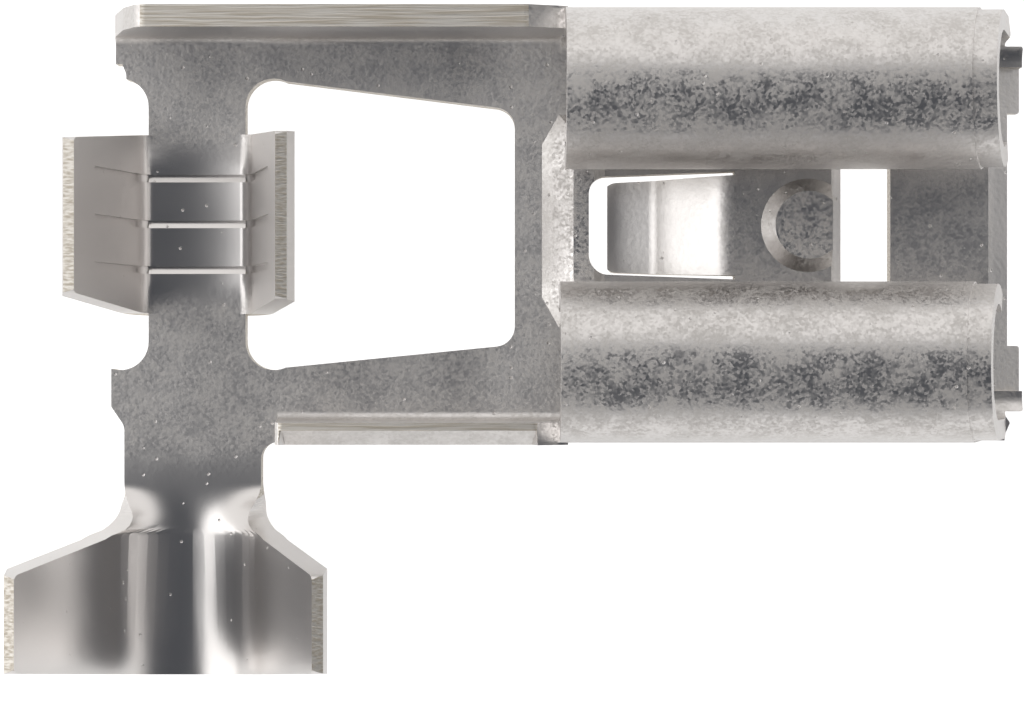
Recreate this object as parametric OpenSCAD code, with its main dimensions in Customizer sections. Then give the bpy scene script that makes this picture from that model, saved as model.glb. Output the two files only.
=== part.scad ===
// 6.3 mm flag (right-angle) female spade terminal, stamped and folded from one strip
// of tin-plated brass. Uncrimped, as supplied.
//
// Frame: the tab enters along -X, the open side of the terminal faces +Z and the wire
// leaves along -Y. The origin is the middle of the receptacle's mouth, on the face of
// the floor that the tab slides on. The flat sheet lies between z = -sheet_t and z = 0.

/* [Sheet] */
// Thickness of the brass strip
sheet_t = 0.4; // [0.3:0.02:0.5]
// Inside radius of the sharp folds: flanges and wire barrel
fold_r = 0.18; // [0.1:0.02:0.3]

/* [Receptacle] */
// Width over the two curls
rec_w = 7.74; // [6.4:0.02:9.4]
// Length of the floor from the mouth to the rear end of the curls
rec_l = 8.22; // [6.8:0.02:10]
// Height from the underside of the sheet to the top of the curls
rec_h = 3.2; // [2.7:0.05:3.9]
// Width of one curl
curl_w = 2.87; // [2.4:0.01:3.1]
// Gap between the floor and the free edge of a curl, less than the tab that springs it open
tab_gap = 0.66; // [0.4:0.01:0.8]
// Inside radius of the bend between the floor and a curl
side_bend_r = 0.4; // [0.2:0.02:0.6]
// Angle at which the front ends of the curls lean back
front_slant = 16.5; // [0:0.5:25]
// Length of the coined band round the front end of each curl
coin_l = 0.42; // [0.2:0.02:0.6]
// Depth of the coined band
coin_depth = 0.04; // [0.02:0.01:0.08]
// How far the upper curl stands ahead of the lower one
curl_stagger = 0.1; // [0:0.02:0.2]
// Length of the lead-in bevel on the front edge of the floor
lead_in_l = 0.38; // [0.2:0.02:0.6]
// Depth of the lead-in bevel
lead_in_depth = 0.17; // [0.1:0.01:0.25]
// Width of each shear stub on the front edge, left where the next part was cut off
ear_w = 1.2; // [0.8:0.05:1.4]
// How far a shear stub stands out of the front edge
ear_l = 0.24; // [0.1:0.02:0.4]

/* [Tab detent and stop] */
// Radius of the half-round detent at floor level
detent_r = 0.86; // [0.7:0.02:1]
// Height of the detent above the floor
detent_h = 0.22; // [0.1:0.01:0.3]
// Distance from the mouth to the centre of the detent
detent_back = 3.69; // [3.2:0.01:4.2]
// Length of the floor window in front of the detent
slot_window_l = 0.9; // [0.6:0.05:1.2]
// Width of the floor window
slot_window_w = 2.6; // [2:0.05:3]
// Length of the bevel on the floor window's rear edge
window_bevel_l = 0.18; // [0.1:0.02:0.3]
// How far the detent, the window and the lance stand off the middle of the floor
punch_offset = 0.07; // [0:0.01:0.2]
// How far the tab stop stands off the middle of the floor
stop_offset = 0.15; // [0:0.01:0.2]
// Width of the tab stop
stop_w = 3.9; // [3:0.1:4.2]
// Width of the tab stop's rear edge
stop_rear_w = 2.8; // [2:0.1:3]
// Height of the tab stop above the floor
stop_h = 0.3; // [0.2:0.02:0.4]
// Length of the tab stop's rear ramp
stop_ramp_l = 0.57; // [0.4:0.01:0.8]

/* [Locking lance] */
// Width of the lance at its root
lance_w = 1.86; // [1.5:0.02:2.2]
// Width of the lance at its tip
lance_tip_w = 1.66; // [1.3:0.02:1.9]
// Length of the sloping stretch of the lance
lance_slope_l = 1.05; // [0.7:0.05:1.3]
// Length of the flatter end of the lance
lance_end_l = 0.77; // [0.5:0.01:0.9]
// Angle at which the lance leaves the floor
lance_angle = 32; // [20:1:36]
// Angle of the end of the lance
lance_end_angle = 10; // [0:1:15]
// Width of the cut along each side of the lance
lance_cut = 0.06; // [0.04:0.01:0.1]
// Gap between the tip of the lance and the tab stop
lance_tip_gap = 0.38; // [0.3:0.02:0.5]

/* [Flag body] */
// Distance from the rear end of the curls to the wire axis
flag_l = 6.68; // [5.6:0.02:8.2]
// Height of the flanges above the sheet
flange_h = 1.56; // [1.2:0.02:1.9]
// How far each flange stands outside the curls
flange_step = 0.04; // [0:0.01:0.1]
// Width of the post between the window and the receptacle
post_w = 0.85; // [0.6:0.05:1.2]
// Slant of the window's upper edge
window_top_slant = 7.1; // [0:0.1:10]
// Slant of the window's lower edge
window_low_slant = 5.7; // [0:0.1:10]
// Radius of the window's right-hand corners
window_r = 0.37; // [0.2:0.01:0.6]

/* [Wire barrel] */
// Length of the wire barrel at its root
wire_l = 3.35; // [2.8:0.05:4.1]
// Length of the left wing at its tip
wire_left_tip_l = 2.66; // [2.2:0.02:3.2]
// Length of the right wing at its tip
wire_right_tip_l = 2.88; // [2.2:0.02:3.2]
// Width of the flat floor between the folds
wire_floor_w = 1.56; // [1.3:0.02:1.9]
// Height of the wings above the floor
wire_h = 3.0; // [2.4:0.05:3.6]
// Outward lean of the wings
wire_lean = 14; // [5:1:20]
// Width of the necks above and below the barrel
neck_w = 1.78; // [1.6:0.02:2]
// Radius of the round reliefs at the ends of the wings' roots
relief_r = 0.52; // [0.4:0.01:0.6]
// Number of serration grooves
serrations = 3; // [2:1:4]
// Distance between serration grooves
serration_pitch = 0.84; // [0.6:0.02:1]
// Width of a serration groove
serration_w = 0.14; // [0.1:0.01:0.2]
// Depth of a serration groove
serration_depth = 0.06; // [0.04:0.01:0.1]
// Height up the wings that the grooves reach
serration_h = 2.15; // [1:0.05:2.3]

/* [Insulation barrel] */
// Width of the flat strip that leads to the insulation barrel
strip_w = 2.51; // [2.2:0.01:2.8]
// Length of that strip below the flanges
strip_l = 0.74; // [0.6:0.02:1.5]
// Length over which the flat strip turns round
turn_l = 0.93; // [0.7:0.01:1.2]
// Inside radius of the barrel's round floor
grip_r = 1.4; // [1.15:0.01:1.7]
// Length of the barrel behind the turn, at its root
grip_l = 2.59; // [2.1:0.01:3.2]
// Height of the wings above the floor
grip_h = 3.85; // [3.2:0.05:4.7]
// Outward lean of the wings
grip_lean = 22; // [12:0.5:28]
// How far the strip and the barrel stand to the left of the wire axis
grip_offset = 0.08; // [0:0.01:0.2]

/* [Hidden] */
$fn = 64;
over = 1;            // how far cutters run past the metal
lap = 0.1;           // how far one piece of the sheet runs into the next
big = 20;            // longer than any piece of the terminal
hair = 0.01;         // clearance above a tip whose corners are rounded
nick_r = 0.05;       // radius of small punched corners

// Receptacle
rear_x = -rec_l;
curl_out_r = curl_w / 2;
curl_y = rec_w / 2 - curl_out_r;
curl_z = rec_h - sheet_t - curl_out_r;
curl_hook = asin((curl_z - tab_gap) / curl_out_r);
floor_half = rec_w / 2 - side_bend_r - sheet_t;
ear_out = floor_half + 0.27;      // outer side of a shear stub, in the side bend
ear_top = 0.1;                    // height at which the front end leans back
nick_w = 0.06;                    // slit between a stub and the side bend
nick_depth = 0.1;
corner_run = 0.15;                // from the slit to where the outer corner starts
corner_back = 0.25;               // how far the outer corner is rounded back

// Detent and window
detent_side = detent_h + 0.02;    // the detent's side slopes at a little under 45 degrees
detent_wall = 0.155;              // how much less the hollow's radius is underneath
detent_root = 0.05;               // how far the detent starts below the face
detent_share = 0.71;              // where the window cuts the detent off, in radii
window_x = -detent_back + detent_share * detent_r;
window_bevel_drop = 0.1;

// Tab stop
stop_rear = rear_x - 0.35;
stop_corner = stop_rear + 0.31;
stop_top_rear = stop_rear + stop_ramp_l;
stop_side_ramp = 0.4;
stop_top_nick = 0.05;
lance_slot_x = stop_top_rear + 0.28;
stop_front = lance_slot_x + 0.3;
leaf = 0.02;                      // thickness of the slices that the stop is stretched over

// Lance
lance_bend_r = 0.5;
lance_foot = 0.15;                // flat sheet that the lance starts with
lance_run = (lance_bend_r + sheet_t) * sin(lance_angle)
    + lance_slope_l * cos(lance_angle)
    + lance_bend_r * (sin(lance_angle) - sin(lance_end_angle))
    + lance_end_l * cos(lance_end_angle);
lance_root = lance_slot_x + lance_tip_gap + lance_run;
lance_corner_r = 0.28;
slot_corner_r = 0.35;

// Flag body
flange_y = rec_w / 2 + flange_step;
bend_y = flange_y - sheet_t - fold_r;
axis_x = rear_x - flag_l;
grip_x = axis_x - grip_offset;
post_x = rear_x - post_w;
body_left = axis_x - 1.49;        // left end of the upper rail and its flange
body_right = rear_x + lap;
relief_lip = 0.19;                // how far the rail narrows above the relief
relief_shoulder = 0.6;
stub_left = axis_x - 1.575;       // left side of the carrier stub
stub_low = 0.65;                  // how far above the lower flange the stub ends
stub_slant = 0.3;
strip_fillet = 0.3;
flange_foot = 0.3;                // flat sheet that a flange's section starts with
flange_dip = 0.25;                // how far a flange drops beside the receptacle
top_dip_l = 0.65;
low_dip_l = 0.5;
top_end_l = 0.62;                 // the upper flange's left end rises in two slants
top_end_mid = 0.3;
top_end_drop = 0.5;
top_end_foot = 0.1;
low_end_l = 0.1;
low_end_foot = 0.4;
flange_round = 0.3;

// Wire barrel
wire_y = 0.09;
wire_fold_r = fold_r + 0.07;
relief_x = neck_w / 2 + relief_r;
relief_y = wire_l / 2 + relief_r - 0.04;
wire_wing_l = (wire_h - wire_fold_r * (1 - sin(wire_lean))) / cos(wire_lean);
wire_tip_round = 0.12;
tip_t = sheet_t / 2;
tip_bevel_l = 0.4;

// Insulation barrel
strip_end = -flange_y - strip_l;
grip_start = strip_end - turn_l;
grip_end = grip_start - grip_l;
grip_wing_l = (grip_h - grip_r * (1 - sin(grip_lean))) / cos(grip_lean);
grip_lead = 0.15;
grip_front_draft = 0.154;
grip_rear_draft = 0.132;
grip_tip_round = 0.15;

// The turn from flat strip to round barrel
turn_sections = 12;
turn_steps = 20;
turn_flare = 0.55;
turn_lap = 0.05;
grip_mid_r = grip_r + sheet_t / 2;
grip_arc = grip_mid_r * (90 - grip_lean) * PI / 180;
grip_edge_z = grip_lead / grip_front_draft;
grip_edge = grip_arc + (grip_edge_z - grip_r + grip_mid_r * sin(grip_lean)) / cos(grip_lean);

// A ring sector of the sheet: inside radius r, from -90 degrees through angle a
module bend_section(r, a) {
    reach = 2 * (r + sheet_t);
    intersection() {
        difference() {
            circle(r + sheet_t);
            circle(r);
        }
        if (a <= 180) intersection() {
            translate([0, -reach]) square([reach, 2 * reach]);
            rotate(a) translate([-reach, -reach]) square([reach, 2 * reach]);
        } else union() {
            translate([0, -reach]) square([reach, 2 * reach]);
            rotate(a) translate([-reach, -reach]) square([reach, 2 * reach]);
        }
    }
}

// A section through bent sheet, walked along its face. Each step is
// [length, angle, inside radius]: a straight run, then a bend towards the face
// (positive) or away from it (negative).
module sheet_section(steps, i = 0) {
    if (i < len(steps)) {
        run = steps[i][0];
        a = steps[i][1];
        r = steps[i][2];
        if (run > 0) translate([0, -sheet_t]) square([run, sheet_t]);
        if (a > 0) translate([run, r]) {
            bend_section(r, a);
            rotate(a) translate([0, -r]) sheet_section(steps, i + 1);
        }
        if (a < 0) translate([run, -sheet_t - r]) {
            mirror([0, 1]) bend_section(r, -a);
            rotate(a) translate([0, r + sheet_t]) sheet_section(steps, i + 1);
        }
    }
}

// The points of an outline whose corners are [x, y, radius], listed anticlockwise
function corner(a, p, b) =
    let (
        u = [a[0] - p[0], a[1] - p[1]],
        v = [b[0] - p[0], b[1] - p[1]],
        un = u / norm(u),
        vn = v / norm(v),
        half = acos(un * vn) / 2,
        c = [p[0], p[1]] + (un + vn) / norm(un + vn) * p[2] / sin(half),
        t0 = [p[0], p[1]] + un * p[2] / tan(half) - c,
        turn = (180 - 2 * half) * (cross(u, v) < 0 ? 1 : -1)
    )
    p[2] == 0 ? [[p[0], p[1]]] : [
        for (i = [0:8])
            let (k = turn * i / 8)
            c + [t0[0] * cos(k) - t0[1] * sin(k), t0[0] * sin(k) + t0[1] * cos(k)]
    ];

function outline(pts) =
    let (n = len(pts))
    [for (i = [0:n - 1]) each corner(pts[(i + n - 1) % n], pts[i], pts[(i + 1) % n])];

// Sections drawn in the YZ plane and run along X, or drawn in the XZ plane and run along Y
module along_x(x0, x1) {
    translate([x0, 0, 0]) rotate([90, 0, 90]) linear_extrude(x1 - x0) children();
}

module along_y(y0, y1) {
    translate([0, y1, 0]) rotate([90, 0, 0]) linear_extrude(y1 - y0) children();
}

// Both halves of something drawn on the +X or +Y side
module both(v) {
    children();
    mirror(v) children();
}

// Receptacle: floor, side bends and curls, one half at a time because the curls are staggered
module receptacle() {
    receptacle_half(curl_stagger / 2);
    mirror([0, 1, 0]) receptacle_half(-curl_stagger / 2);
}

module receptacle_half(shift) {
    curl_steps = [
        [lap + floor_half, 90, side_bend_r],
        [curl_z - side_bend_r, 180 + curl_hook, curl_out_r - sheet_t],
    ];
    difference() {
        intersection() {
            along_x(rear_x - over, ear_l) translate([-lap, 0]) sheet_section(curl_steps);
            along_y(-rec_w, rec_w) receptacle_side(shift);
            translate([0, 0, -over]) linear_extrude(big) receptacle_plan();
        }
        coined_band(shift);
    }
}

// Side view: upright at the rear, leaning back at the front above the shear stubs
module receptacle_side(shift) {
    top = rec_h + over;
    polygon([
        [rear_x, -over],
        [ear_l, -over],
        [ear_l, ear_top],
        [shift - ear_top * tan(front_slant), ear_top],
        [shift - top * tan(front_slant), top],
        [rear_x + shift, top],
        [rear_x + shift, side_bend_r],
        [rear_x, side_bend_r],
    ]);
}

// Plan view of the upper half: shear stub, the nick beside it and the rounded outer corner
module receptacle_plan() {
    nick = ear_out + nick_w;
    side = rec_w / 2 + corner_back;
    polygon(outline([
        [rear_x - over, -over, 0],
        [0, -over, 0],
        [0, ear_out - ear_w, 0],
        [ear_l, ear_out - ear_w, nick_r],
        [ear_l, ear_out, nick_r],
        [-nick_depth, ear_out, nick_w / 2],
        [-nick_depth, nick, nick_w / 2],
        [0, nick + corner_run, nick_r],
        [-corner_back, side, 0],
        [rear_x - over, side, 0],
    ]));
}

// The metal that coining takes off the outside of a curl's front end
module coined_band(shift) {
    low = tab_gap / 2;
    top = rec_h + over;
    intersection() {
        along_x(rear_x, big) difference() {
            translate([0, low]) square([rec_w, top]);
            translate([curl_y, curl_z]) circle(curl_out_r - coin_depth);
            translate([curl_y, 0]) square([curl_out_r - coin_depth, curl_z]);
        }
        along_y(-rec_w, rec_w) polygon([
            [shift - coin_l - low * tan(front_slant), low],
            [big, low],
            [big, top],
            [shift - coin_l - top * tan(front_slant), top],
        ]);
    }
}

// Flange along one edge of the flag body, with its side view as the child
module flange(x0) {
    steps = [[flange_foot, 90, fold_r], [flange_h - fold_r, 0, 0]];
    intersection() {
        along_x(x0, body_right) translate([bend_y - flange_foot, 0]) sheet_section(steps);
        along_y(0, rec_w) children();
    }
}

module top_flange() {
    flange(body_left) polygon(outline([
        [body_left, -over, 0],
        [body_right, -over, 0],
        [body_right, flange_h - flange_dip, 0],
        [rear_x - top_dip_l, flange_h, flange_round],
        [body_left + top_end_l, flange_h, flange_round],
        [body_left + top_end_mid, flange_h - top_end_drop, flange_round],
        [body_left, top_end_foot, flange_round / 2],
    ]));
}

module bottom_flange() {
    x0 = grip_x + strip_w / 2 + strip_fillet;
    mirror([0, 1, 0]) flange(x0) polygon(outline([
        [x0, -over, 0],
        [body_right, -over, 0],
        [body_right, flange_h - flange_dip, 0],
        [rear_x - low_dip_l, flange_h, flange_round],
        [x0 + low_end_l, flange_h, flange_round / 2],
        [x0, low_end_foot, flange_round],
    ]));
}

// Flat sheet: flag body, necks, carrier stub and the strip down to the insulation barrel
module plate() {
    neck = neck_w / 2;
    strip = strip_w / 2;
    shoulder_x = body_left + relief_lip;
    shoulder_y = wire_y + relief_y;
    stub_y = wire_y - relief_y;
    flange_start = grip_x + strip + strip_fillet;
    difference() {
        translate([0, 0, -sheet_t]) linear_extrude(sheet_t) polygon(outline([
            [body_left, bend_y, 0],
            [shoulder_x, shoulder_y + relief_shoulder, 2 * nick_r],
            [shoulder_x, shoulder_y, 0],
            [axis_x - neck, shoulder_y, 0],
            [axis_x - neck, stub_y, 0],
            [stub_left, stub_y, 0],
            [stub_left, -flange_y + stub_low, nick_r],
            [grip_x - strip, -flange_y + stub_slant, strip_fillet],
            [grip_x - strip, strip_end, 0],
            [grip_x + strip, strip_end, 0],
            [grip_x + strip, -flange_y, strip_fillet],
            [flange_start, -flange_y, 0],
            [flange_start, -bend_y, 0],
            [body_right, -bend_y, 0],
            [body_right, bend_y, 0],
        ]));
        body_window();
        at_reliefs() cylinder(h = 2 * over, r = relief_r, center = true);
    }
}

// The four places of the round reliefs at the roots of the wire barrel's wings
module at_reliefs() {
    for (sx = [-1, 1], sy = [-1, 1])
        translate([axis_x + sx * relief_x, wire_y + sy * relief_y, 0]) children();
}

// The window between wire barrel and receptacle, its left corners lying in two of the reliefs
module body_window() {
    left = axis_x + relief_x;
    run = post_x - left;
    top = wire_y + relief_y + relief_r - nick_r / 2;
    low = wire_y - relief_y - relief_r + nick_r / 2;
    translate([0, 0, -over]) linear_extrude(2 * over) polygon(outline([
        [axis_x + neck_w / 2, low + relief_r, 0],
        [left, low, 0],
        [post_x, low + run * tan(window_low_slant), window_r],
        [post_x, top - run * tan(window_top_slant), window_r],
        [left, top, 0],
        [axis_x + neck_w / 2, top - relief_r, 0],
    ]));
}

// Half the section of a barrel with one wing, the outer corner of its tip bevelled off
module barrel_side(half, r, lean, wing) {
    slope = tip_t / tip_bevel_l;
    difference() {
        translate([-lap, 0]) sheet_section([[lap + half, 90 - lean, r], [wing, 0, 0]]);
        translate([half, r]) rotate(90 - lean) translate([wing, -r - sheet_t]) polygon([
            [over, -over],
            [over, tip_t + over * slope],
            [0, tip_t],
            [-tip_bevel_l, 0],
            [-tip_bevel_l, -over],
        ]);
    }
}

// Wire barrel: folded wings tapering to their tips, serrated inside
module wire_barrel() {
    difference() {
        translate([axis_x, wire_y, 0]) {
            wire_side(wire_right_tip_l);
            mirror([1, 0, 0]) wire_side(wire_left_tip_l);
        }
        for (i = [0:serrations - 1])
            translate([axis_x, wire_y + (i - (serrations - 1) / 2) * serration_pitch, 0])
                serration();
    }
}

module wire_side(tip_l) {
    root = wire_l / 2;
    tip = tip_l / 2;
    intersection() {
        along_y(-root, root) barrel_side(wire_floor_w / 2, wire_fold_r, wire_lean, wire_wing_l);
        along_x(-rec_w, rec_w) polygon(outline([
            [-root, -over, 0],
            [root, -over, 0],
            [root, -sheet_t, 0],
            [tip, wire_h + hair, wire_tip_round],
            [-tip, wire_h + hair, wire_tip_round],
            [-root, -sheet_t, 0],
        ]));
    }
}

// One serration groove: a thin slice of the barrel's hollow, sunk a little into the metal
module serration() {
    r = wire_fold_r + serration_depth;
    half = wire_floor_w / 2;
    foot = half + r * cos(wire_lean);
    foot_z = wire_fold_r - r * sin(wire_lean);
    along_y(-serration_w / 2, serration_w / 2) both([1, 0]) {
        translate([0, -serration_depth]) square([half, serration_h]);
        translate([half, wire_fold_r]) circle(r);
        polygon([
            [half, 0],
            [foot, foot_z],
            [foot + (serration_h - foot_z) * tan(wire_lean), serration_h],
            [half, serration_h],
        ]);
    }
}

// Insulation barrel: a round floor with leaning wings, drafted at both ends
module insulation_barrel() {
    front = grip_start + grip_lead;
    intersection() {
        translate([grip_x, 0, 0]) along_y(grip_end, grip_start) both([1, 0])
            barrel_side(0, grip_r, grip_lean, grip_wing_l);
        along_x(grip_x - rec_w, grip_x + rec_w) polygon(outline([
            [grip_end, -over, 0],
            [front, -over, 0],
            [front, 0, 0],
            [front - grip_h * grip_front_draft, grip_h + hair, grip_tip_round],
            [grip_end + grip_h * grip_rear_draft, grip_h + hair, grip_tip_round],
            [grip_end, 0, 0],
        ]));
    }
}

// Where the flat strip turns round: a loft through sections whose curvature grows.
// Each section is [y, share of the full curvature, half width, half thickness], and the
// last one is slimmer and lies inside the barrel, so that the two are one piece.
function smooth(s) = s * s * (3 - 2 * s);

function turn_half(s) =
    let (k = max(0, (s - turn_flare) / (1 - turn_flare)))
    strip_w / 2 + (grip_edge - strip_w / 2) * (1 - sqrt(1 - k * k));

// A point of a section at distance u along the sheet and h off its middle
function turn_point(section, u, h) =
    let (
        curve = section[1] / grip_mid_r,
        arc = min(abs(u), grip_arc),
        rest = abs(u) - arc,
        a = arc * curve * 180 / PI,
        x = (curve > 0 ? sin(a) / curve : arc) + rest * cos(a) - h * sin(a),
        z = (curve > 0 ? (1 - cos(a)) / curve : 0) + rest * sin(a) + h * cos(a)
    )
    [grip_x + sign(u) * x, section[0], z - sheet_t / 2];

module turn() {
    sections = concat(
        [
            for (i = [0:turn_sections])
                let (s = i / turn_sections)
                [strip_end - s * (turn_l - turn_lap / 2), smooth(s), turn_half(s), sheet_t / 2]
        ],
        [[grip_start - turn_lap, 1, grip_edge - turn_lap, sheet_t / 2 - turn_lap / 2]]
    );
    across = [for (j = [0:turn_steps]) 2 * j / turn_steps - 1];
    loop = 2 * len(across);
    points = [
        for (c = sections) each concat(
            [for (u = across) turn_point(c, u * (c[2] + c[3] * tan(grip_lean) * c[1]), -c[3])],
            [for (u = across) turn_point(c, -u * (c[2] - c[3] * tan(grip_lean) * c[1]), c[3])]
        )
    ];
    last = (len(sections) - 1) * loop;
    first_cap = [for (j = [0:turn_steps - 1]) [j, j + 1, loop - 2 - j, loop - 1 - j]];
    last_cap = [
        for (c = first_cap)
            [for (k = [3:-1:0]) last + c[k]]
    ];
    skin = [
        for (i = [0:len(sections) - 2], j = [0:loop - 1])
            let (p = i * loop + j, q = i * loop + (j + 1) % loop)
            [p, p + loop, q + loop, q]
    ];
    faces = concat(first_cap, last_cap, skin);
    polyhedron(points, faces);
}

// Tab stop: a shallow raised step with ramped sides, sheared open by the lance's slot
module stop_form(z) {
    half = stop_w / 2;
    rear_half = stop_rear_w / 2;
    translate([0, stop_offset, z]) hull() {
        translate([0, 0, -leaf]) linear_extrude(leaf)
            stop_plan(stop_rear, rear_half, stop_corner, half, stop_front);
        translate([0, 0, stop_h - leaf]) linear_extrude(leaf)
            stop_plan(stop_top_rear, rear_half - stop_side_ramp, stop_top_rear + stop_top_nick,
                      half - stop_side_ramp, stop_front - stop_side_ramp / 2);
    }
}

module stop_plan(rear, rear_half, corner, half, front) {
    polygon([
        [rear, -rear_half],
        [corner, -half],
        [front, -half],
        [front, half],
        [corner, half],
        [rear, rear_half],
    ]);
}

// Detent: a half-round plateau that springs into the hole of the tab
module detent_form(z, shrink) {
    root_r = detent_r - shrink + detent_root * detent_side / detent_h;
    translate([-detent_back, punch_offset, z - detent_root])
        cylinder(h = detent_h + detent_root, r1 = root_r, r2 = detent_r - shrink - detent_side);
}

// The floor window, its rear edge bevelled where it cuts the detent off
module floor_window() {
    half = slot_window_w / 2;
    along_y(punch_offset - half, punch_offset + half) polygon([
        [window_x, -over],
        [window_x, -window_bevel_drop],
        [window_x - window_bevel_l, 0],
        [window_x - window_bevel_l, over],
        [window_x + slot_window_l, over],
        [window_x + slot_window_l, -over],
    ]);
}

// The slot that frees the lance on three sides
module lance_slot() {
    tip = lance_tip_w / 2 + lance_cut;
    root = lance_w / 2 + lance_cut;
    translate([0, punch_offset, -over]) linear_extrude(2 * over) polygon(outline([
        [lance_slot_x, -tip, slot_corner_r],
        [lance_root, -root, 0],
        [lance_root, root, 0],
        [lance_slot_x, tip, slot_corner_r],
    ]));
}

// Locking lance: sprung out of the floor to catch the shoulder of a housing
module lance() {
    steps = [
        [lance_foot, -lance_angle, lance_bend_r],
        [lance_slope_l, lance_angle - lance_end_angle, lance_bend_r],
        [lance_end_l, 0, 0],
    ];
    start = lance_root + lance_foot;
    end = lance_root - lance_run - lap;
    tip = lance_tip_w / 2;
    root = lance_w / 2;
    translate([0, punch_offset, 0]) intersection() {
        along_y(-root, root) translate([start, 0]) mirror([1, 0]) sheet_section(steps);
        translate([0, 0, -2 * over]) linear_extrude(3 * over) polygon(outline([
            [end, -tip, lance_corner_r],
            [start, -root, 0],
            [start, root, 0],
            [end, tip, lance_corner_r],
        ]));
    }
}

// Lead-in bevel along the front edge of the floor
module lead_in() {
    half = floor_half - lap;
    front = ear_l + lap;
    slope = lead_in_depth / lead_in_l;
    along_y(-half, half) polygon([
        [-lead_in_l, 0],
        [front, -slope * (lead_in_l + front)],
        [front, lap],
        [-lead_in_l, lap],
    ]);
}

// The whole terminal, one folded sheet
module terminal() {
    color("silver") {
        difference() {
            union() {
                plate();
                receptacle();
                top_flange();
                bottom_flange();
                stop_form(0);
                detent_form(0, 0);
            }
            stop_form(-sheet_t);
            detent_form(-sheet_t, detent_wall);
            floor_window();
            lance_slot();
            lead_in();
        }
        lance();
        wire_barrel();
        turn();
        insulation_barrel();
    }
}

terminal();
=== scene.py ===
import bpy
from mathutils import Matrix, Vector


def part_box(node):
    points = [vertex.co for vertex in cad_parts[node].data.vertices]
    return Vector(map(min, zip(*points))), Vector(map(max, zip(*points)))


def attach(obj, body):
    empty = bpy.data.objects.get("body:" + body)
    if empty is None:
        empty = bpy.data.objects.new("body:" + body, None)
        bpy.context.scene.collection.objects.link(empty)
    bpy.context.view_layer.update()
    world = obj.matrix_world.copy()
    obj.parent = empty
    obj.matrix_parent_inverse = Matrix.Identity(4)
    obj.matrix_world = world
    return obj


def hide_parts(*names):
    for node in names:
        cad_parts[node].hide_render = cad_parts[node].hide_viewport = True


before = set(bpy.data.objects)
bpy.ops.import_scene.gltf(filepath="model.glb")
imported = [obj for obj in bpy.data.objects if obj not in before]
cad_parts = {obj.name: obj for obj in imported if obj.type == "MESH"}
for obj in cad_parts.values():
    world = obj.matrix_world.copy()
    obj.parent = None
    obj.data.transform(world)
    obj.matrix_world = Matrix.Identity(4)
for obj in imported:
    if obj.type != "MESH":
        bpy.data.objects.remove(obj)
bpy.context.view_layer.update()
bpy.ops.object.select_all(action="DESELECT")

# Camera on a copy stand, looking straight down on the terminal from close above, so that
# the tall curls and wings lean outwards. It is over the flag body, a little nearer the wire
# than the receptacle's middle line.
MM = 0.001
camera_place = (-9.12 * MM, -2.345 * MM, 45 * MM)
frame_width = 18.79 * MM
sensor = 36.0
camera_data = bpy.data.cameras.new("copy_stand_camera")
camera_data.sensor_width = sensor
camera_data.lens = sensor * camera_place[2] / frame_width
camera_data.clip_start = 2 * MM
camera_data.clip_end = 2.0
camera = bpy.data.objects.new("copy_stand_camera", camera_data)
camera.location = camera_place
bpy.context.collection.objects.link(camera)
bpy.context.scene.camera = camera


# Floor: a sheet of matte white paper under the terminal. It glows a little to the camera
# and in the metal's reflections, so that it reads as white, and it is so bright that the
# terminal's shadow does not show.
def linear(code):
    """An sRGB hex colour as linear RGBA."""
    parts = [int(code[i:i + 2], 16) / 255 for i in (1, 3, 5)]
    return tuple(p / 12.92 if p <= 0.04045 else ((p + 0.055) / 1.055) ** 2.4
                 for p in parts) + (1.0,)


def add(tree, kind, settings=None, **links):
    """A node with its settings, by attribute or by socket, and its links, by socket. A link comes
    from a socket, or from a node's first output. _1 is the input numbered 1."""
    node = tree.nodes.new("ShaderNode" + kind)
    for name, value in (settings or {}).items():
        if isinstance(name, int) or not hasattr(node, name):
            node.inputs[name].default_value = value
        else:
            setattr(node, name, value)
    for name, source in links.items():
        socket = int(name[1:]) if name[0] == "_" else name.replace("_", " ")
        if isinstance(source, bpy.types.Node):
            source = source.outputs[0]
        tree.links.new(source, node.inputs[socket])
    return node


paper_colour = "#efefee"
paper_rough = 0.9
paper_size = 0.7
paper_glow_camera = 0.8
paper_glow_metal = 0.4
bpy.ops.mesh.primitive_plane_add(size=paper_size, location=(camera_place[0], camera_place[1], 0))
floor = bpy.context.object
floor.name = "paper_floor"
floor.location.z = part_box("terminal")[0][2]
bpy.ops.object.transform_apply(location=True)
paper = bpy.data.materials.new("white_paper_matte")
paper.use_nodes = True
tree = paper.node_tree
shader = tree.nodes["Principled BSDF"]
shader.inputs["Base Color"].default_value = linear(paper_colour)
shader.inputs["Roughness"].default_value = paper_rough
shader.inputs["Emission Color"].default_value = (1, 1, 1, 1)
rays = add(tree, "LightPath")
to_camera = add(tree, "Math", {"operation": "MULTIPLY", 1: paper_glow_camera},
                _0=rays.outputs["Is Camera Ray"])
to_metal = add(tree, "Math", {"operation": "MULTIPLY", 1: paper_glow_metal},
               _0=rays.outputs["Is Glossy Ray"])
glow = add(tree, "Math", {"operation": "MAXIMUM"}, _0=to_camera, _1=to_metal)
tree.links.new(glow.outputs[0], shader.inputs["Emission Strength"])
floor.data.materials.append(paper)

# Light tent: white cloth all round, with a wide dark opening overhead that runs down on the
# wire's side. The opening is what the flat metal mirrors, and the cloth is what makes the
# sides of the curls pale.
tent_white = "#f7f5f3"
tent_dark = "#44474d"
degrees = 57.29578
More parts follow.
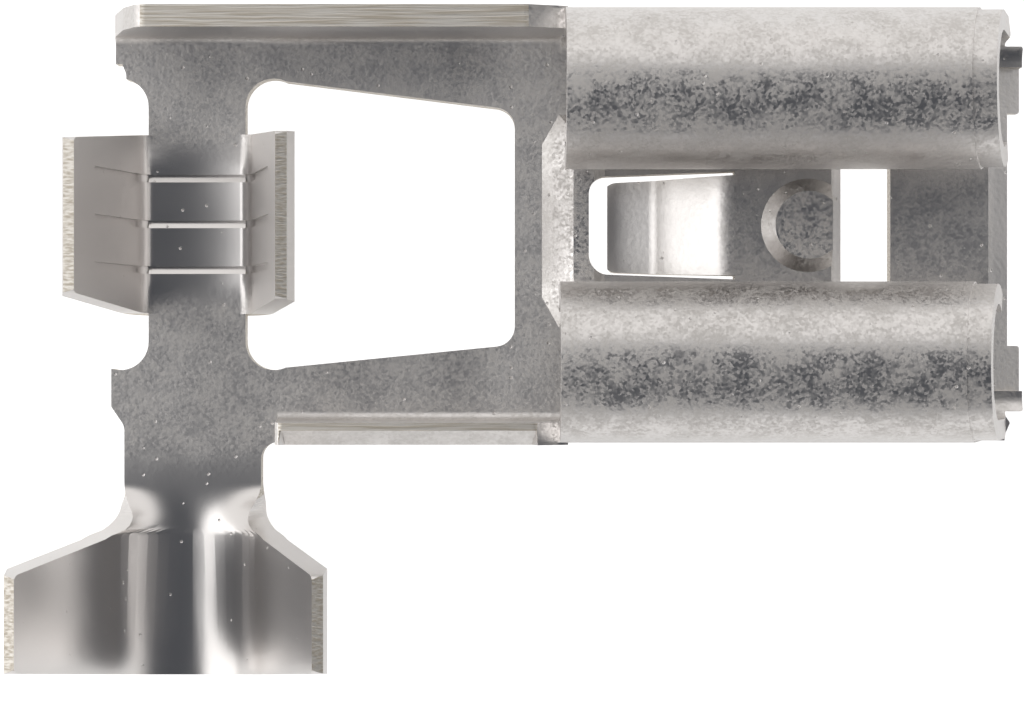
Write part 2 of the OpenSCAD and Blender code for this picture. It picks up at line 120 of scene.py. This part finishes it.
# The opening's four soft edges: an axis, and how far from straight up towards it, in
# degrees, the cloth ends and the opening is fully dark
opening_edges = (("Y", -88, -68), ("Y", 36, 12), ("X", -40, -12), ("X", 85, 50))
world = bpy.data.worlds.new("light_tent")
bpy.context.scene.world = world
world.use_nodes = True
tree = world.node_tree
where = add(tree, "TexCoord")
split = add(tree, "SeparateXYZ", Vector=where.outputs["Generated"])
tilts = {}
for name in ("X", "Y"):
    tilt = add(tree, "Math", {"operation": "ARCTAN2"},
               _0=split.outputs[name], _1=split.outputs["Z"])
    tilts[name] = add(tree, "Math", {"operation": "MULTIPLY", 1: degrees}, _0=tilt)
opening = None
for name, cloth_ends, fully_dark in opening_edges:
    edge = add(tree, "MapRange", {"interpolation_type": "SMOOTHSTEP",
                                  "From Min": cloth_ends, "From Max": fully_dark},
               Value=tilts[name])
    if opening:
        edge = add(tree, "Math", {"operation": "MULTIPLY"}, _0=opening, _1=edge)
    opening = edge
cloth = add(tree, "Mix", {"data_type": "RGBA", 6: linear(tent_white), 7: linear(tent_dark)},
            Factor=opening)
tree.links.new(cloth.outputs[2], tree.nodes["Background"].inputs["Color"])
tree.nodes["Background"].inputs["Strength"].default_value = 1.0

# Softbox: one soft lamp on the left, about as bright as the cloth, aimed at the terminal.
# Surfaces that lean to the left mirror it.
lamp_place = (-0.22, 0.0, 0.18)
lamp_width = 0.12
lamp_height = 0.3
lamp_radiance = 1.0
pi = 3.1416
lamp_data = bpy.data.lights.new("left_softbox", "AREA")
lamp_data.shape = "RECTANGLE"
lamp_data.size = lamp_width
lamp_data.size_y = lamp_height
lamp_data.energy = lamp_radiance * pi * lamp_width * lamp_height
lamp = bpy.data.objects.new("left_softbox", lamp_data)
lamp.location = Vector(lamp_place) + Vector((camera_place[0], camera_place[1], 0))
lamp.rotation_euler = Vector(lamp_place).to_track_quat("Z", "Y").to_euler()
bpy.context.collection.objects.link(lamp)

# Terminal: one strip of brass, 0.4 mm thick, tin plated before it was stamped and folded.
# The press leaves its rims a little rounded, cuts the wire barrel's serrations across its
# floor and rolls the lower flange's outer rim over.
rim_round = 0.03 * MM
rim_angle = 0.9
smooth_angle = 0.4
flange_top = 1.56 * MM
flange_outer = -3.87 * MM
flange_front = -8.1 * MM
flange_side_slack = 0.05 * MM
flange_top_slack = 0.02 * MM
flange_chamfer = 0.26 * MM
wire_axis = (-14.9 * MM, 0.09 * MM)
wire_floor_half = 0.89 * MM
serration_pitch = 0.84 * MM
serration_depth = 0.05 * MM
serration_steep = 0.07 * MM
serration_foot = 0.035 * MM
serration_gentle = -0.07 * MM
grip_start = -5.58 * MM
grip_blend = 0.03 * MM
grip_reach = 2 * MM
merge_gap = 0.0015 * MM
flat_angle = 0.004
facing_up = 0.999
tiny = 0.004 * MM
cut_tolerance = 0.0001 * MM

cad_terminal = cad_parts["terminal"]
terminal = cad_terminal.copy()
terminal.data = cad_terminal.data.copy()
terminal.name = "folded_terminal"
bpy.context.collection.objects.link(terminal)
bpy.context.view_layer.objects.active = terminal
terminal.select_set(True)
bpy.ops.mesh.customdata_custom_splitnormals_clear()
bpy.ops.object.mode_set(mode="EDIT")
bpy.ops.mesh.select_all(action="SELECT")
bpy.ops.mesh.remove_doubles(threshold=merge_gap)
bpy.ops.mesh.dissolve_limited(angle_limit=flat_angle)


def pick(kind, test):
    """Leaves only the vertices, edges or faces that pass the test selected, in edit mode."""
    modes = {"vertices": "VERT", "edges": "EDGE", "polygons": "FACE"}
    bpy.ops.object.mode_set(mode="EDIT")
    bpy.ops.mesh.select_mode(type=modes[kind])
    bpy.ops.mesh.select_all(action="DESELECT")
    bpy.ops.object.mode_set(mode="OBJECT")
    for element in getattr(bpy.context.object.data, kind):
        element.select = test(element)
    bpy.ops.object.mode_set(mode="EDIT")


def cut_across(test, axis, places):
    """Cuts the faces that pass the test with planes across one axis."""
    normal = [float(axis == i) for i in range(3)]
    for place in places:
        pick("polygons", test)
        bpy.ops.mesh.bisect(plane_co=[place * n for n in normal], plane_no=normal,
                            threshold=cut_tolerance)


def on_floor(face):
    """True for the strip's flat upper side."""
    return face.normal.z > facing_up and abs(face.center.z) < tiny


grooves = [wire_axis[1] + i * serration_pitch for i in (-1, 0, 1)]
cut_across(on_floor, 1, [y + d for y in grooves
                         for d in (serration_steep, serration_foot, serration_gentle)])
cut_across(on_floor, 0, [wire_axis[0] + side * wire_floor_half for side in (-1, 1)])
pick("vertices", lambda v: abs(v.co.z) < tiny
     and abs(v.co.x - wire_axis[0]) < wire_floor_half + tiny
     and min(abs(v.co.y - y - serration_foot) for y in grooves) < tiny)
bpy.ops.transform.translate(value=(0, 0, -serration_depth))

# The lower flange's outer rim
corners = terminal.data.vertices
pick("edges", lambda e: all(abs(corners[i].co.y - flange_outer) < flange_side_slack
                            and abs(corners[i].co.z - flange_top) < flange_top_slack
                            and corners[i].co.x < flange_front for i in e.vertices))
bpy.ops.mesh.bevel(offset=flange_chamfer, segments=1)

# The last of the turn and the first of the insulation barrel, drawn into one another
cut_across(lambda f: f.center.y < grip_start + grip_reach, 1,
           [grip_start - grip_blend, grip_start + grip_blend])
pick("polygons", lambda f: abs(f.center.y - grip_start) < grip_blend)
bpy.ops.mesh.delete(type="FACE")
bpy.ops.mesh.select_mode(type="EDGE")
bpy.ops.mesh.select_all(action="DESELECT")
bpy.ops.mesh.select_non_manifold(extend=False)
bpy.ops.mesh.bridge_edge_loops()
bpy.ops.object.mode_set(mode="OBJECT")
bpy.ops.object.shade_smooth_by_angle(angle=smooth_angle)


def finish_with(kind, settings):
    """Adds a modifier with its settings to the active piece and applies it."""
    modifier = bpy.context.object.modifiers.new(kind.lower(), kind)
    for name, value in settings.items():
        setattr(modifier, name, value)
    bpy.ops.object.modifier_apply(modifier=modifier.name)


finish_with("BEVEL", {"width": rim_round, "segments": 2, "limit_method": "ANGLE",
                      "angle_limit": rim_angle, "use_clamp_overlap": True,
                      "harden_normals": True, "miter_outer": "MITER_ARC"})
finish_with("TRIANGULATE", {"keep_custom_normals": True})

# Bright tin plate, electroplated on rolled strip: fine crystals, some smooth and some
# dull, so that dark reflections look sandy and pale ones even. On steep faces the sand is
# also taken out of the colour, which is painted light: a lighter, even tone. The forming
# punches have burnished the insides of both barrels and the lance, which mirror cleanly.
tin_light = "#eae7e5"
tin_dull = "#e0ddda"
# Real crystals and pits are too fine to show, so both are drawn coarser
crystal_mm = 0.045
pit_mm = 0.24
mottle_mm = 0.55
wave_mm = 2.2
crystal_share = 0.4
grain_share = 0.5
sand_from = 0.72
sand_to = 1.18
sand_fade = 4.0
pit_edge_outer = 0.13
pit_edge_inner = 0.07
pit_rarity = 0.62
# Where the punches burnished it: how far along the wire from the wire barrel's middle, how
# high up its wings, how far before the insulation barrel, and how deep on the lance
wire_burnish_end = 1.6 * MM
wire_burnish_full = 1.0 * MM
wing_foot = 0.05 * MM
wing_full = 0.3 * MM
wing_half = 2.0 * MM
wire_side_end = wire_axis[0] + 2.9 * MM
grip_burnish_end = grip_start + 1.7 * MM
grip_burnish_full = grip_start + 0.7 * MM
lance_top = -0.02 * MM
lance_full = -0.05 * MM
lance_rear = -8.2 * MM
lance_half = 1.1 * MM
lance_burnish = 0.4
burnish_strength = 0.85
# The curls: above the floor and ahead of their rear ends. Rolling polished them, and their
# steep inner flanks are duller
curl_foot = 0.1 * MM
curl_rear = -8.4 * MM
flank_starts = 1.9 * MM
flank_full = 1.6 * MM
steep_from = 0.5
steep_full = 0.25
# Painted light: the share of sand that steep faces lose, so that their colour is lighter and
# even, like the pale cloth they mirror
steep_painted_pale = 0.7
rough_burnished = 0.28
rough_frosted = 0.34
frosted_least = 0.15
rough_rolled = -0.055
rough_sand_flat = 0.16
rough_sand_curl = 0.4
rough_flank = 0.2
rough_pit = 0.3
# Heights in mm
hollow_depth = 0.05
rise_start = -10.1 * MM
rise_end = -7.7 * MM
rise_height = 0.13
wave_height = 0.05
pit_height = -0.008
grain_height = 0.004

tin = bpy.data.materials.new("bright_tin_plate_rolled")
tin.use_nodes = True
tree = tin.node_tree
shader = tree.nodes["Principled BSDF"]
shader.inputs["Metallic"].default_value = 1.0
place = add(tree, "TexCoord").outputs["Object"]
at = add(tree, "SeparateXYZ", Vector=place).outputs
crystals = add(tree, "TexVoronoi", {"Scale": 1000 / crystal_mm}, Vector=place)
crystal = add(tree, "SeparateColor", Color=crystals.outputs["Color"])
grain = add(tree, "TexNoise", {"Scale": 500 / crystal_mm, "Detail": 2.0}, Vector=place)
cloud = add(tree, "TexNoise", {"Scale": 1000 / mottle_mm, "Detail": 4.0, "Roughness": 0.6},
            Vector=place)
waves = add(tree, "TexNoise", {"Scale": 1000 / wave_mm, "Detail": 1.0}, Vector=place)
pits = add(tree, "TexVoronoi", {"Scale": 1000 / pit_mm}, Vector=place)
pit_kind = add(tree, "SeparateColor", Color=pits.outputs["Color"])
pit_disc = add(tree, "MapRange", {"From Min": pit_edge_outer, "From Max": pit_edge_inner},
               Value=pits.outputs["Distance"])
pit_here = add(tree, "Math", {"operation": "GREATER_THAN", 1: pit_rarity}, _0=pit_kind)
pit = add(tree, "Math", {"operation": "MULTIPLY"}, _0=pit_disc, _1=pit_here)

# How far each point is from the wire barrel's middle, both ways, and from the receptacle's
distance = {}
for name, axis, middle in (("wire_y", "Y", wire_axis[1]), ("tab_y", "Y", 0.0),
                           ("wire_x", "X", wire_axis[0])):
    offset = add(tree, "Math", {"operation": "SUBTRACT", 1: middle}, _0=at[axis])
    distance[name] = add(tree, "Math", {"operation": "ABSOLUTE"}, _0=offset)

# Where the punches burnished the plating
in_wire_y = add(tree, "MapRange", {"interpolation_type": "SMOOTHSTEP",
                                   "From Min": wire_burnish_end, "From Max": wire_burnish_full},
                Value=distance["wire_y"])
above_floor = add(tree, "MapRange", {"From Min": wing_foot, "From Max": wing_full},
                  Value=at["Z"])
beside_wire = add(tree, "Math", {"operation": "LESS_THAN", 1: wing_half}, _0=distance["wire_y"])
on_wing = add(tree, "Math", {"operation": "MULTIPLY"}, _0=above_floor, _1=beside_wire)
in_wire = add(tree, "Math", {"operation": "MAXIMUM"}, _0=in_wire_y, _1=on_wing)
wire_side = add(tree, "Math", {"operation": "LESS_THAN", 1: wire_side_end}, _0=at["X"])
in_wire = add(tree, "Math", {"operation": "MULTIPLY"}, _0=in_wire, _1=wire_side)
in_grip = add(tree, "MapRange", {"interpolation_type": "SMOOTHSTEP",
                                 "From Min": grip_burnish_end, "From Max": grip_burnish_full},
              Value=at["Y"])
below_floor = add(tree, "MapRange", {"From Min": lance_top, "From Max": lance_full},
                  Value=at["Z"])
lance_x = add(tree, "Math", {"operation": "GREATER_THAN", 1: lance_rear}, _0=at["X"])
lance_y = add(tree, "Math", {"operation": "LESS_THAN", 1: lance_half}, _0=distance["tab_y"])
lance_plan = add(tree, "Math", {"operation": "MULTIPLY"}, _0=lance_x, _1=lance_y)
in_lance = add(tree, "Math", {"operation": "MULTIPLY"}, _0=below_floor, _1=lance_plan)
in_lance = add(tree, "Math", {"operation": "MULTIPLY", 1: lance_burnish}, _0=in_lance)
burnished = add(tree, "Math", {"operation": "MAXIMUM"}, _0=in_wire, _1=in_grip)
burnished = add(tree, "Math", {"operation": "MAXIMUM"}, _0=burnished, _1=in_lance)
burnished = add(tree, "Math", {"operation": "MULTIPLY", 1: burnish_strength}, _0=burnished)
frosted = add(tree, "Math", {"operation": "SUBTRACT", 0: 1.0}, _1=burnished)

# The curls, and what stands steeply
above = add(tree, "Math", {"operation": "GREATER_THAN", 1: curl_foot}, _0=at["Z"])
ahead = add(tree, "Math", {"operation": "GREATER_THAN", 1: curl_rear}, _0=at["X"])
rolled = add(tree, "Math", {"operation": "MULTIPLY"}, _0=above, _1=ahead)
facing = add(tree, "NewGeometry").outputs["Normal"]
up = add(tree, "SeparateXYZ", Vector=facing).outputs["Z"]
steep = add(tree, "MapRange", {"From Min": steep_from, "From Max": steep_full}, Value=up)
flank = add(tree, "Math", {"operation": "MULTIPLY"}, _0=steep, _1=rolled)
inner = add(tree, "MapRange", {"From Min": flank_starts, "From Max": flank_full},
            Value=distance["tab_y"])
flank = add(tree, "Math", {"operation": "MULTIPLY"}, _0=flank, _1=inner)

# Sandy crystals, fewer where it is burnished. Steep faces lose sand too, which is painted light:
# their colour is made lighter and even, a painted pale reflection of the cloth
crystal_part = add(tree, "Math", {"operation": "MULTIPLY", 1: crystal_share}, _0=crystal)
grain_part = add(tree, "Math", {"operation": "MULTIPLY", 1: grain_share}, _0=grain)
sand = add(tree, "Math", {"operation": "ADD"}, _0=crystal_part, _1=grain_part)
sand = add(tree, "Math", {"operation": "ADD"}, _0=sand, _1=cloud)
sand = add(tree, "MapRange", {"From Min": sand_from, "From Max": sand_to}, Value=sand)
faded = add(tree, "Math", {"operation": "POWER", 1: sand_fade}, _0=frosted)
sand = add(tree, "Math", {"operation": "MULTIPLY"}, _0=sand, _1=faded)
steep_pale_paint = add(tree, "Math", {"operation": "MULTIPLY", 1: steep_painted_pale}, _0=steep)
sand_share_not_painted_pale = add(tree, "Math", {"operation": "SUBTRACT", 0: 1.0}, _1=steep_pale_paint)
sand = add(tree, "Math", {"operation": "MULTIPLY"}, _0=sand, _1=sand_share_not_painted_pale)
colour = add(tree, "Mix", {"data_type": "RGBA", 6: linear(tin_light), 7: linear(tin_dull)},
             Factor=sand)
tree.links.new(colour.outputs[2], shader.inputs["Base Color"])

# Roughness: the smoothest it gets, then what the sand, the flanks, the wire barrel's wings
# and the pits add
polish = add(tree, "MapRange", {"From Min": frosted_least, "From Max": 1.0,
                                "To Min": rough_burnished, "To Max": rough_frosted},
             Value=frosted)
rolled_part = add(tree, "Math", {"operation": "MULTIPLY", 1: rough_rolled}, _0=rolled)
roughness = add(tree, "Math", {"operation": "ADD"}, _0=polish, _1=rolled_part)
sand_span = add(tree, "MapRange", {"To Min": rough_sand_flat, "To Max": rough_sand_curl},
                Value=rolled)
sand_part = add(tree, "Math", {"operation": "MULTIPLY"}, _0=sand, _1=sand_span)
roughness = add(tree, "Math", {"operation": "ADD"}, _0=roughness, _1=sand_part)
wire_wing = add(tree, "Math", {"operation": "MULTIPLY"}, _0=on_wing, _1=in_wire)
dull_side = add(tree, "Math", {"operation": "MAXIMUM"}, _0=flank, _1=wire_wing)
for patch, extra in ((dull_side, rough_flank), (pit, rough_pit)):
    part = add(tree, "Math", {"operation": "MULTIPLY", 1: extra}, _0=patch)
    roughness = add(tree, "Math", {"operation": "ADD"}, _0=roughness, _1=part)
tree.links.new(roughness.outputs[0], shader.inputs["Roughness"])

# Slow forms too shallow to cut: the wire barrel's floor is a little hollow, the strip rises
# a little towards the receptacle, and all of it is a little wavy. Then pits and grain
across = add(tree, "Math", {"operation": "DIVIDE", 1: wire_floor_half}, _0=distance["wire_x"])
hollow = add(tree, "Math", {"operation": "POWER", 1: 2.0}, _0=across)
hollow = add(tree, "Math", {"operation": "MULTIPLY", 1: hollow_depth}, _0=hollow)
hollow = add(tree, "Math", {"operation": "MULTIPLY"}, _0=hollow, _1=in_wire_y)
wire_floor = add(tree, "Math", {"operation": "LESS_THAN", 1: wire_floor_half},
                 _0=distance["wire_x"])
height = add(tree, "Math", {"operation": "MULTIPLY"}, _0=hollow, _1=wire_floor)
rise = add(tree, "MapRange", {"interpolation_type": "SMOOTHSTEP",
                              "From Min": rise_start, "From Max": rise_end}, Value=at["X"])
frosted_grain = add(tree, "Math", {"operation": "MULTIPLY"}, _0=grain, _1=frosted)
for form, depth in ((rise, rise_height), (waves, wave_height), (pit, pit_height),
                    (frosted_grain, grain_height)):
    part = add(tree, "Math", {"operation": "MULTIPLY", 1: depth}, _0=form)
    height = add(tree, "Math", {"operation": "ADD"}, _0=height, _1=part)
relief = add(tree, "Bump", {"Strength": 1.0, "Distance": MM}, Height=height)
tree.links.new(relief.outputs[0], shader.inputs["Normal"])

# Sheared edges: where the punch cut the strip the plating is smeared over the brass, so
# the faces are duller and a little warmer, and scored along the cut.
smear_pale = "#efebe4"
smear_dark = "#d0c8bb"
# Real scores are too fine to show, so these are drawn coarser across the cut
score_mm = (1.2, 0.04, 0.04)
smear_from = 0.4
smear_to = 0.65
score_low = 0.3
score_high = 0.7
score_smooth = 0.5
score_rough = 0.66
score_depth = 0.014 * MM
score_strength = 0.8
cut = bpy.data.materials.new("sheared_brass_smeared")
cut.use_nodes = True
tree = cut.node_tree
shader = tree.nodes["Principled BSDF"]
shader.inputs["Metallic"].default_value = 1.0
place = add(tree, "TexCoord").outputs["Object"]
along = add(tree, "Mapping", {"Scale": [1000 / size for size in score_mm]}, Vector=place)
score = add(tree, "TexNoise", {"Scale": 1.0, "Detail": 2.0}, Vector=along)
smear = add(tree, "MapRange", {"From Min": smear_from, "From Max": smear_to}, Value=score)
shade = add(tree, "Mix", {"data_type": "RGBA", 6: linear(smear_pale), 7: linear(smear_dark)},
            Factor=smear)
tree.links.new(shade.outputs[2], shader.inputs["Base Color"])
dull = add(tree, "MapRange", {"From Min": score_low, "From Max": score_high,
                              "To Min": score_smooth, "To Max": score_rough}, Value=score)
tree.links.new(dull.outputs[0], shader.inputs["Roughness"])
scoring = add(tree, "Bump", {"Strength": score_strength, "Distance": score_depth}, Height=score)
tree.links.new(scoring.outputs[0], shader.inputs["Normal"])

# The cut faces: the strip's own edges, the tops of the flanges and the tips of the wings
upright = 0.25
edge_top = 0.02 * MM
rail_up = 0.6
rail_slack = 0.02 * MM
rail_front = -8 * MM
tip_up = 0.85
tip_bottom = 2.85 * MM
tip_front = -12 * MM
terminal.data.materials.clear()
terminal.data.materials.append(tin)
terminal.data.materials.append(cut)
for face in terminal.data.polygons:
    x, y, z = face.center
    up = face.normal.z
    side = abs(up) < upright and z < edge_top
    rail = up > rail_up and abs(z - flange_top) < rail_slack and x < rail_front
    tip = up > tip_up and z > tip_bottom and x < tip_front
    if side or rail or tip:
        face.material_index = 1

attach(terminal, "root")
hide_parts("terminal")

bpy.context.scene.view_settings.view_transform = "Standard"
